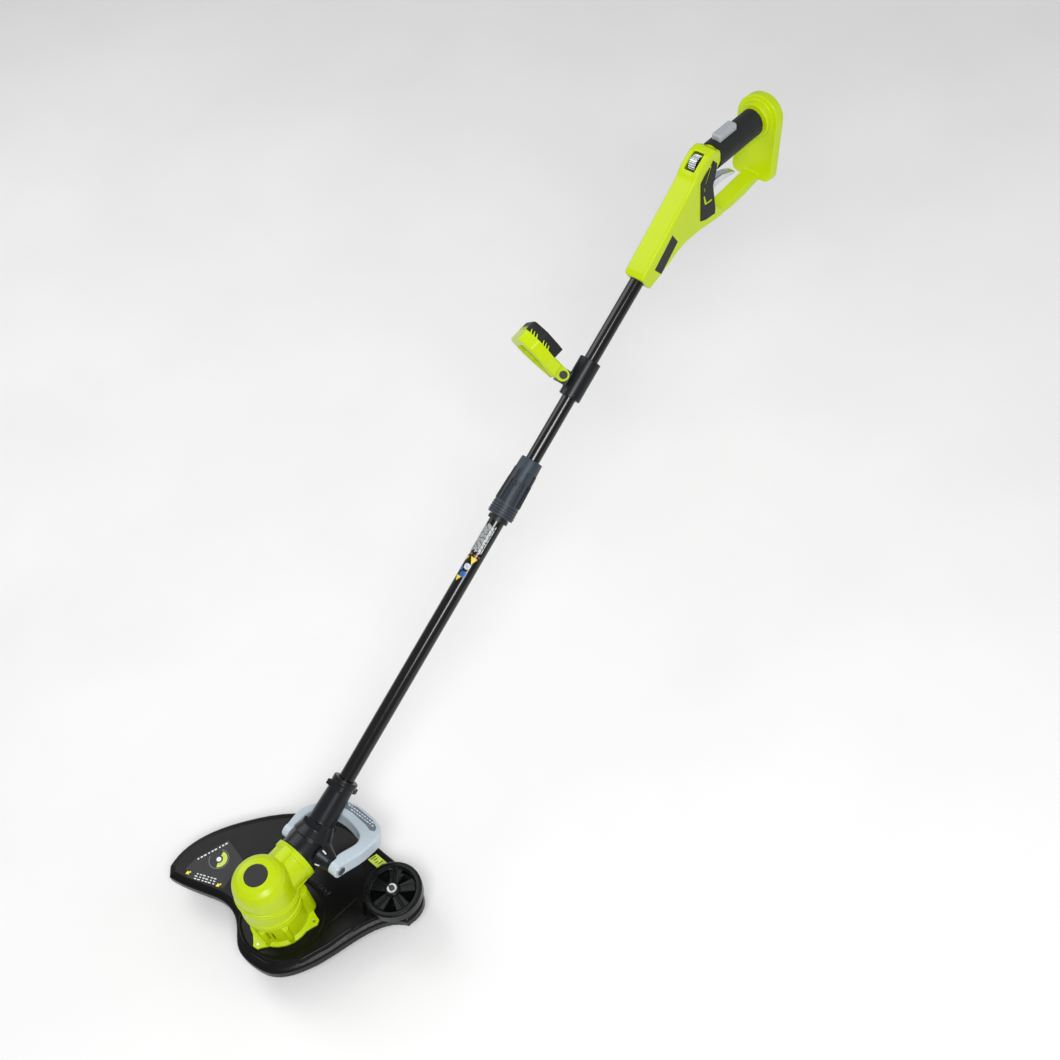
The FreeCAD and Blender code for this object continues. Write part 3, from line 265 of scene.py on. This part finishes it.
# Every CAD node gets the finish of its slot in the record.
slot_of = {part["node"]: part["material_slot"] for part in frame["record"]["subparts"]}
for node_name, node in frame["nodes"].items():
    node.data.materials.clear()
    node.data.materials.append(FINISH[slot_of[node_name]])


# ---- mesh helpers --------------------------------------------------------------------------
def link_mesh(name, mesh):
    """A new object in the scene with that mesh."""
    made = bpy.data.objects.new(name, mesh)
    bpy.context.scene.collection.objects.link(made)
    return made


def mesh_from(edit, name, smooth=False):
    """Close a bmesh and put it in a new object."""
    mesh = bpy.data.meshes.new(name)
    edit.to_mesh(mesh)
    edit.free()
    for polygon in mesh.polygons:
        polygon.use_smooth = smooth
    return link_mesh(name, mesh)


def finished(obj, slot, body, replaced=(), finish=None):
    """Give a new piece its material and its CAD body, and hide the CAD nodes it replaces.

    The material is the slot's own, unless another finish is named.
    """
    obj.data.materials.clear()
    obj.data.materials.append(FINISH[finish or slot])
    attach(obj, body)
    if replaced:
        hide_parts(*replaced)


def apply_modifiers(obj):
    """Put the modifiers' result in the mesh."""
    graph = bpy.context.evaluated_depsgraph_get()
    mesh = bpy.data.meshes.new_from_object(obj.evaluated_get(graph))
    old = obj.data
    obj.modifiers.clear()
    obj.data = mesh
    bpy.data.meshes.remove(old)


def soft_edged(name, nodes, slot, body, voxel, smooth, target):
    """One skin over CAD nodes with every edge rounded, as a mould leaves it.

    The skin is remeshed at the voxel size in millimetres, smoothed in so many steps, and thinned
    to about the target number of triangles.
    """
    joined = bmesh.new()
    for node_name in nodes:
        joined.from_mesh(frame["nodes"][node_name].data)
    obj = mesh_from(joined, name)
    remesh = obj.modifiers.new("remesh", "REMESH")
    remesh.mode = "VOXEL"
    remesh.voxel_size = voxel * MM
    remesh.use_smooth_shade = True
    soften = obj.modifiers.new("soften", "SMOOTH")
    soften.factor = 0.5
    soften.iterations = smooth
    apply_modifiers(obj)
    triangles = len(obj.data.polygons) * 2
    if triangles > target:
        thin = obj.modifiers.new("thin", "DECIMATE")
        thin.ratio = target / triangles
        apply_modifiers(obj)
    for polygon in obj.data.polygons:
        polygon.use_smooth = True
    finished(obj, slot, body, nodes)


def on_shaft(x, n, a):
    """A point given right of, above and along the tube."""
    up = Vector((0.0, math.sin(SHAFT_RISE), math.cos(SHAFT_RISE)))
    along = Vector((0.0, -math.cos(SHAFT_RISE), math.sin(SHAFT_RISE)))
    return PIVOT + (Vector((x, 0, 0)) + up * n + along * a) * MM


# ---- moulded pieces ------------------------------------------------------------------------
# Each row: piece, CAD nodes, slot, body, voxel, smoothing steps, most triangles.
SKINS = [
    ("handle_shells", ["handle_shell_left", "handle_shell_right"], "lime_plastic",
     "rear_handle", 0.9, 8, 160000),
    ("rear_grip_sleeve", ["grip_sleeve"], "soft_grip", "rear_handle", 0.4, 1, 90000),
    ("flank_panel_left", ["side_panel_left"], "soft_grip", "rear_handle", 0.35, 2, 40000),
    ("flank_panel_right", ["side_panel_right"], "soft_grip", "rear_handle", 0.35, 2, 40000),
    ("trigger_blade", ["trigger"], "silver_plastic", "trigger", 0.4, 6, 40000),
    ("lock_off_cap", ["lock_off_button"], "light_grey_plastic", "lock_off_button", 0.8, 12, 40000),
    ("dial_wheel", ["speed_dial"], "silver_plastic", "speed_dial", 0.3, 1, 60000),
    ("loop_frame", ["front_handle_frame"], "lime_plastic", "front_handle", 0.7, 4, 90000),
    ("loop_grip", ["front_handle_grip"], "soft_grip", "front_handle", 0.7, 4, 90000),
    ("clamp_band", ["clamp_sleeve"], "hub_black", "rear_handle", 0.6, 5, 90000),
    ("clamp_knob", ["front_handle_knob"], "black_plastic", "front_handle_knob", 0.35, 2, 40000),
    ("collar_grip", ["twist_collar"], "collar_rubber", "twist_collar", 0.36, 1, 120000),
    ("hub_casting", ["hub_left", "hub_right"], "hub_black", "lower_tube", 0.8, 4, 120000),
    ("pedal_casting", ["foot_pedal"], "pedal_grey", "foot_pedal", 0.7, 4, 90000),
    ("motor_casing_top", ["motor_housing_upper"], "lime_plastic", "head", 0.7, 3, 150000),
    ("motor_casing_base", ["motor_housing_lower"], "lime_plastic", "head", 0.7, 3, 150000),
    ("guard_shell", ["guard"], "guard_black", "head", 1.0, 3, 180000),
    ("wheel_casting", ["edge_wheel"], "wheel_black", "edge_wheel", 0.55, 2, 120000),
]
for skin in SKINS:
    soft_edged(*skin)

# ---- small raised details ------------------------------------------------------------------
def ring(name, centre, radius, thick, slot, body, around=72, about=12):
    """A bead round an upright axis; the centre is in metres."""
    edit = bmesh.new()
    loops = []
    for i in range(around):
        turn = 2 * math.pi * i / around
        loop = []
        for j in range(about):
            bend = 2 * math.pi * j / about
            reach = (radius + thick * math.cos(bend)) * MM
            offset = (reach * math.cos(turn), reach * math.sin(turn), thick * MM * math.sin(bend))
            loop.append(edit.verts.new(Vector(centre) + Vector(offset)))
        loops.append(loop)
    for i in range(around):
        this, after = loops[i], loops[(i + 1) % around]
        for j in range(about):
            k = (j + 1) % about
            edit.faces.new((this[j], after[j], after[k], this[k]))
    bmesh.ops.recalc_face_normals(edit, faces=edit.faces)
    finished(mesh_from(edit, name, smooth=True), slot, body)


def add_prism(edit, bottom, top):
    """A closed solid between two rings of corners."""
    low_ring = [edit.verts.new(point) for point in bottom]
    high_ring = [edit.verts.new(point) for point in top]
    edit.faces.new(low_ring)
    edit.faces.new(high_ring)
    for i in range(len(low_ring)):
        j = (i + 1) % len(low_ring)
        edit.faces.new((low_ring[i], low_ring[j], high_ring[j], high_ring[i]))


def prisms(name, solids, slot, body, finish=None, rounding=0.25):
    """Small solids, each given as its bottom corners and its top corners, with rounded edges."""
    edit = bmesh.new()
    for bottom, top in solids:
        add_prism(edit, bottom, top)
    bmesh.ops.recalc_face_normals(edit, faces=edit.faces)
    obj = mesh_from(edit, name)
    bevel = obj.modifiers.new("bevel", "BEVEL")
    bevel.width = rounding * MM
    bevel.segments = 2
    apply_modifiers(obj)
    finished(obj, slot, body, finish=finish)


# Flutes, bands and an arrow on the twist collar, a cone from COLLAR_WIDE down to COLLAR_SLIM.
COLLAR_START, COLLAR_LENGTH = 516.0, 88.0
COLLAR_WIDE, COLLAR_SLIM = 18.6, 15.6


def on_collar(turn, share, proud):
    """A point on the collar: degrees from the top to the left, share of its length, height."""
    radius = COLLAR_WIDE + (COLLAR_SLIM - COLLAR_WIDE) * share + proud
    turn = math.radians(turn)
    along = COLLAR_START + COLLAR_LENGTH * share
    return on_shaft(-radius * math.sin(turn), radius * math.cos(turn), along)


def collar_bar(turn, end_turn, start, end, half, sunk=-0.6, proud=0.9):
    """A bar along the collar that may lean from one turn to another."""
    corners = []
    for height, taper in ((sunk, 1.0), (proud, 0.6)):
        for share, way, sign in ((start, turn, -1), (end, end_turn, -1),
                                 (end, end_turn, 1), (start, turn, 1)):
            corners.append(on_collar(way + sign * half * taper, share, height))
    return corners[:4], corners[4:]


FLUTE_START, FLUTE_HALF, FLUTE_CLOSING = 0.24, 1.5, 0.8
# Where the four flutes of a group stand, in degrees, and how far along the collar each goes.
FLUTE_GROUP = ((-13.0, 0.62), (-5.0, 0.80), (5.0, 0.80), (13.0, 0.62))
BAND_ROWS, BAND_START, BAND_PITCH, BAND_WIDTH, BAND_HALF = 4, 0.045, 0.045, 0.012, 6.1
collar_ribs = []
for turn in range(0, 360, 45):
    for shift, reach in FLUTE_GROUP:
        collar_ribs.append(collar_bar(turn + shift, turn + shift * FLUTE_CLOSING,
                                      FLUTE_START, reach, FLUTE_HALF))
for turn in range(0, 360, 12):
    for row in range(BAND_ROWS):
        share = BAND_START + BAND_PITCH * row
        collar_ribs.append(collar_bar(turn, turn, share, share + BAND_WIDTH, BAND_HALF))
prisms("collar_ribs", collar_ribs, "collar_rubber", "twist_collar", "black_plastic", 0.2)

ARROW_TURN, ARROW_SPREAD, ARROW_HALF = 22.0, 8.0, 1.7
arrow_bars = [collar_bar(ARROW_TURN, ARROW_TURN + lean, 0.52, 0.62, ARROW_HALF)
              for lean in (ARROW_SPREAD, -ARROW_SPREAD)]
prisms("collar_arrow", arrow_bars, "collar_rubber", "twist_collar", "black_plastic", 0.15)

# A lime bead round the badge on the dome.
BEAD_RADIUS, BEAD_THICK, BEAD_SUNK = 18.0, 1.3, 0.9
badge_low, badge_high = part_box("dome_badge")
badge_centre = (badge_low + badge_high) / 2
ring("dome_badge_rim", (badge_centre.x, badge_centre.y, badge_high.z - BEAD_SUNK * MM),
     BEAD_RADIUS, BEAD_THICK, "lime_plastic", "head")

# Teeth of the loop handle's lime half bite into its dark half.
LOOP_TURN, LOOP_LEAN = math.radians(50.0), math.radians(14.0)
LOOP_PLACE = (25.0, 723.0)


def on_loop(x, y, z):
    """A point of the loop handle's own plane: across, up from the bolt and towards the user."""
    n = LOOP_PLACE[0] + y * math.cos(LOOP_LEAN) - z * math.sin(LOOP_LEAN)
    a = LOOP_PLACE[1] + y * math.sin(LOOP_LEAN) + z * math.cos(LOOP_LEAN)
    return on_shaft(x * math.cos(LOOP_TURN) + n * math.sin(LOOP_TURN),
                    n * math.cos(LOOP_TURN) - x * math.sin(LOOP_TURN), a)


LOOP_EDGE = [(-36, 36), (-43, 58), (-32, 80), (32, 80), (43, 58), (36, 36)]
TOOTH_PITCH, TOOTH_HALF, TOOTH_SKEW, TOOTH_TIP, CORNER_ROOM = 5.2, 1.3, 3.0, 0.35, 5.5
TOOTH_SUNK, TOOTH_PROUD = -0.8, 0.35
TEETH_LOW, TEETH_HIGH = 5.4, 11.0
teeth = []
for start, end in zip(LOOP_EDGE, LOOP_EDGE[1:]):
    first, last = Vector(start), Vector(end)
    way = (last - first).normalized()
    out = Vector((-way.y, way.x))
    place = CORNER_ROOM
    while place < (last - first).length - CORNER_ROOM:
        corners = []
        for height, shift, taper in ((TEETH_LOW, 0.0, 1.0), (TEETH_HIGH, TOOTH_SKEW, TOOTH_TIP)):
            for along, proud in ((-TOOTH_HALF, TOOTH_SUNK), (TOOTH_HALF, TOOTH_SUNK),
                                 (TOOTH_HALF, TOOTH_PROUD), (-TOOTH_HALF, TOOTH_PROUD)):
                spot = first + way * (place + shift + along * taper) + out * proud
                corners.append(on_loop(spot.x, spot.y, height))
        teeth.append((corners[:4], corners[4:]))
        place += TOOTH_PITCH
prisms("loop_teeth", teeth, "lime_plastic", "front_handle", rounding=0.15)

# Pale plain bars on the pedal's dark strip.
PEDAL_SLOPE = math.radians(15.0)
PAD_TOP = 11.8


def on_pedal(x, y, z):
    """A point of the pedal's own plane: across, away from the user and up, from its pivots."""
    return Vector((x, PIVOT.y / MM + y * math.cos(PEDAL_SLOPE) - z * math.sin(PEDAL_SLOPE),
                   PIVOT.z / MM + y * math.sin(PEDAL_SLOPE) + z * math.cos(PEDAL_SLOPE))) * MM


PAD_ROWS = ((-44.0, 10), (-48.0, 9))  # where each row of bars starts, and how many it has
PAD_PITCH, PAD_ROW_GAP, PAD_EDGE, PAD_HALF = 5.0, 4.0, -79.6, 0.8
PAD_BOW, PAD_MIDDLE = 0.0006, 26
PAD_SUNK, PAD_PROUD = 0.3, 0.12
pad_bars = []
for row, (first_x, count) in enumerate(PAD_ROWS):
    for i in range(count):
        x = first_x + PAD_PITCH * i
        y = PAD_EDGE + PAD_ROW_GAP * row + PAD_BOW * (x + PAD_MIDDLE) ** 2
        half_x = 1.9 - 0.4 * ((i + row) % 3)
        flat = [(x - half_x, y - PAD_HALF), (x + half_x, y - PAD_HALF),
                (x + half_x, y + PAD_HALF), (x - half_x, y + PAD_HALF)]
        pad_bars.append(([on_pedal(u, v, PAD_TOP - PAD_SUNK) for u, v in flat],
                         [on_pedal(u, v, PAD_TOP + PAD_PROUD) for u, v in flat]))
prisms("pedal_pad_bars", pad_bars, "pad_grey", "foot_pedal", "print_white", 0.05)

# Two pale ticks on the slanted shoulder of the hub show the two head positions.
TICK_TURNS = (100.0, 25.0)
TICK_X, TICK_HALF_LONG, TICK_HALF_WIDE = -35.0, 3.0, 1.0
TICK_SUNK, TICK_PROUD = 13.5, 16.6
SHOULDER_SLOPE = 0.444
ticks = []
for turn in TICK_TURNS:
    c, s = math.cos(math.radians(turn)), math.sin(math.radians(turn))
    out, side = Vector((0, c, s)), Vector((0, -s, c))
    base = PIVOT + Vector((TICK_X, 0, 0)) * MM
    corners = []
    for reach in (TICK_SUNK, TICK_PROUD):
        for along, across in ((-TICK_HALF_LONG, -TICK_HALF_WIDE), (TICK_HALF_LONG, -TICK_HALF_WIDE),
                              (TICK_HALF_LONG, TICK_HALF_WIDE), (-TICK_HALF_LONG, TICK_HALF_WIDE)):
            lift = out * (reach + SHOULDER_SLOPE * along)
            corners.append(base + (Vector((along, 0, 0)) + lift + side * across) * MM)
    ticks.append((corners[:4], corners[4:]))
prisms("hub_ticks", ticks, "hub_black", "lower_tube", "print_white")

# ---- prints --------------------------------------------------------------------------------
# Plain marks only: bars, arrows, discs and triangles, with no lettering.
LOWER_TUBE_R = 11.0
PRINT_THICK = 0.1
WRAP_ROWS, WRAP_COLUMNS = 12, 4


def tube_print(name, marks, finish):
    """Thin marks wrapped round the lower tube.

    A mark is its arc from the top of the tube, its start along the tube, its length, and a
    function that gives its half width at a share of its length.
    """
    edit = bmesh.new()
    radius = LOWER_TUBE_R + PRINT_THICK / 2
    for arc, start, length, half_width in marks:
        grid = []
        for row in range(WRAP_ROWS + 1):
            share = row / WRAP_ROWS
            half = half_width(share)
            line = []
            for column in range(-WRAP_COLUMNS, WRAP_COLUMNS + 1):
                turn = (arc + half * column / WRAP_COLUMNS) / radius
                point = on_shaft(-radius * math.sin(turn), radius * math.cos(turn),
                                 start + length * share)
                line.append(edit.verts.new(point))
            grid.append(line)
        for low_line, high_line in zip(grid, grid[1:]):
            for i in range(2 * WRAP_COLUMNS):
                edit.faces.new((low_line[i], high_line[i], high_line[i + 1], low_line[i + 1]))
    obj = mesh_from(edit, name)
    thick = obj.modifiers.new("thick", "SOLIDIFY")
    thick.thickness = PRINT_THICK * MM
    thick.offset = 0.0
    apply_modifiers(obj)
    finished(obj, "black_tube", "lower_tube", finish=finish)


LEAST_HALF = 0.02  # where a disc or a wedge runs out


def bar(half):
    return lambda share: half


def disc(radius):
    return lambda share: max(LEAST_HALF,
                             radius * math.sqrt(max(0.0, 1 - (2 * share - 1) ** 2)))


def wedge(half):
    return lambda share: max(LEAST_HALF, half * share)


# Eight rows of uneven bars stand where small print would be.
TEXT_ROWS, TEXT_SIDE, TEXT_PITCH, TEXT_HALF, TEXT_GAP = 8, -7.0, 2.35, 0.58, 1.6
TEXT_START, TEXT_LAST_START, TEXT_END = 458.0, 498.0, 501.0
text_bars = []
for row in range(TEXT_ROWS):
    start = TEXT_START + (row % 3) * 1.5
    word = 0
    while start < TEXT_LAST_START:
        length = 3.0 + ((row * 5 + word * 3) % 4) * 1.6
        text_bars.append((TEXT_SIDE + TEXT_PITCH * row, start, min(length, TEXT_END - start),
                          bar(TEXT_HALF)))
        start += length + TEXT_GAP
        word += 1
tube_print("tube_label_bars", text_bars, "print_white")
tube_print("tube_label_stripe", [(3.0, 452.6, 2.6, bar(8.6))], "print_orange")
tube_print("tube_label_triangles", [(4.8, 441.5, 9.5, wedge(5.4)), (-7.0, 443.0, 6.5, wedge(3.6)),
                                    (-2.6, 412.5, 8.0, wedge(4.6))], "print_yellow")
tube_print("tube_label_discs", [(1.6, 431.5, 9.4, disc(4.7)), (-9.2, 451.0, 6.6, disc(3.3))],
           "print_white")
tube_print("tube_label_blue_discs", [(2.2, 419.5, 9.4, disc(4.7)), (-6.8, 427.0, 7.0, disc(3.5))],
           "print_blue")

DECK_TOP = 58.0
PRINT_SUNK = 0.3
PANEL_TOP = DECK_TOP + 0.12
MARK_TOP = DECK_TOP + 0.25


def deck_print(name, outlines, finish, top=MARK_TOP):
    """Thin flat marks on the guard's deck; each outline is a list of (x, y)."""
    edit = bmesh.new()
    for outline in outlines:
        add_prism(edit, *([Vector((x, y, z)) * MM for x, y in outline]
                          for z in (DECK_TOP - PRINT_SUNK, top)))
    bmesh.ops.recalc_face_normals(edit, faces=edit.faces)
    finished(mesh_from(edit, name), "guard_black", "head", finish=finish)


def arc_points(centre, radius, start, end, count=24):
    """Points round part of a circle, in degrees."""
    turns = [math.radians(start + (end - start) * i / (count - 1)) for i in range(count)]
    return [(centre[0] + radius * math.cos(t), centre[1] + radius * math.sin(t)) for t in turns]


def arc_band(centre, outer, inner, start, end):
    """A band between two radii, round part of a circle, in degrees."""
    return arc_points(centre, outer, start, end) + arc_points(centre, inner, end, start)


def dash(start, way, length, width):
    """A short bar that begins at a point and runs along a direction in degrees."""
    c, s = math.cos(math.radians(way)), math.sin(math.radians(way))
    side = Vector((-s, c)) * width / 2
    first, last = Vector(start), Vector(start) + Vector((c, s)) * length
    return [tuple(first - side), tuple(last - side), tuple(last + side), tuple(first + side)]


def arrow(tip, way, size):
    """An arrow by its tip, its direction in degrees and its size."""
    c, s = math.cos(math.radians(way)), math.sin(math.radians(way))
    shape = [(0, 0), (-1, 0.7), (-1, 0.25), (-1.8, 0.25),
             (-1.8, -0.25), (-1, -0.25), (-1, -0.7)]
    return [(tip[0] + size * (c * u - s * v), tip[1] + size * (s * u + c * v)) for u, v in shape]


# The large label on the right of the deck: a panel, a round diagram, two arrows and rows of bars.
LABEL = [(148, -33), (108, -25), (98, 22), (154, 43), (166, 34), (165, 14)]
DIAL = (137.0, -4.0)
deck_print("guard_label", [LABEL], "print_panel", PANEL_TOP)
deck_print("guard_label_ring", [arc_band(DIAL, 15.0, 14.2, 20, 300)], "print_grey")
deck_print("guard_label_fan", [arc_band(DIAL, 12.5, 6.0, 120, 285)], "print_lime")
deck_print("guard_label_disc", [arc_points(DIAL, 3.6, 0, 345)], "print_white")
deck_print("guard_label_arrows", [arrow((160, 41), 60, 4.6), arrow((110, 27), 60, 4.6)],
           "print_yellow")
EDGE_BARS, SHORT_ROWS, SHORT_BARS = 9, 3, 6
label_bars = []
for i in range(EDGE_BARS):
    label_bars.append(dash((145.5 + 2.0 * i, -29.0 + 5.2 * i), 69.0, 3.8 - (i % 3) * 0.7, 2.0))
for row in range(SHORT_ROWS):
    for i in range(SHORT_BARS):
        start = (117.0 + 5.4 * i - 1.4 * row, 23.0 + 2.1 * i + 3.6 * row - 4.0)
        label_bars.append(dash(start, 21.0, 4.2 - ((i + row) % 3) * 0.8, 1.5))
deck_print("guard_label_bars", label_bars, "print_white")

# A small lime strip by the guard's rim.
STRIP = [(-38, -134), (-42, -148), (-66, -147), (-62, -133)]
STRIP_BARS = 5
deck_print("guard_strip", [STRIP], "print_lime", PANEL_TOP)
strip_bars = [dash((-41.5 - 4.4 * i, -136.5 - 1.5 * (i % 2)), -104.0, 8.5 - (i % 3) * 2.0, 1.3)
              for i in range(STRIP_BARS)]
deck_print("guard_strip_bars", strip_bars, "print_panel")

# ---- stage ---------------------------------------------------------------------------------
FLOOR_HALF = 40.0  # metres
FLOOR_GAP = 0.0005  # metres, so that the floor and the feet don't share a plane
PAPER_DARK, PAPER_PALE = (0.86, 0.86, 0.86), (0.90, 0.90, 0.90)
WORLD_STRENGTH = 0.40
low, high = cad_box

floor_edit = bmesh.new()
bmesh.ops.create_grid(floor_edit, x_segments=2, y_segments=2, size=FLOOR_HALF)
floor = mesh_from(floor_edit, "floor")
floor.location = (0.0, 0.0, low[2] - FLOOR_GAP)
paper = Shader("paper")
paper_colour = paper.colours(paper.noise(3.0), ((0.3, PAPER_DARK), (0.7, PAPER_PALE)))
paper.link(paper_colour, paper.main.inputs["Base Color"])
paper.set(Roughness=0.9)
floor.data.materials.append(paper.material)

world = bpy.data.worlds.new("studio")
bpy.context.scene.world = world
world.use_nodes = True
background = world.node_tree.nodes["Background"]
background.inputs["Color"].default_value = (1.0, 1.0, 1.0, 1.0)
background.inputs["Strength"].default_value = WORLD_STRENGTH
bpy.context.scene.view_settings.view_transform = "Standard"

middle = Vector([(a + b) / 2 for a, b in zip(low, high)])


def area_light(name, offset, size, power):
    """A rectangular light that looks at the middle of the object, in metres and watts."""
    data = bpy.data.lights.new(name, "AREA")
    data.shape = "RECTANGLE"
    data.size, data.size_y = size
    data.energy = power
    lamp = bpy.data.objects.new(name, data)
    lamp.location = middle + Vector(offset)
    lamp.rotation_euler = (middle - lamp.location).to_track_quat("-Z", "Y").to_euler()
    bpy.context.scene.collection.objects.link(lamp)


area_light("key", (-1.4, 1.1, 2.2), (1.2, 0.9), 56.0)
area_light("fill", (-1.8, -1.6, 1.2), (2.0, 1.6), 9.0)
area_light("rim", (1.8, 0.2, 1.8), (1.2, 2.2), 22.0)

CAMERA_PLACE = (-1.0114, 0.2594, 1.9553)  # metres
CAMERA_TURN = (37.958, 7.695, -139.593)  # degrees
camera_data = bpy.data.cameras.new("camera")
camera_data.lens = 50.94
camera_data.sensor_width = 36.0
camera = bpy.data.objects.new("camera", camera_data)
camera.location = CAMERA_PLACE
camera.rotation_euler = Euler([math.radians(v) for v in CAMERA_TURN], "XYZ")
bpy.context.scene.collection.objects.link(camera)
bpy.context.scene.camera = camera
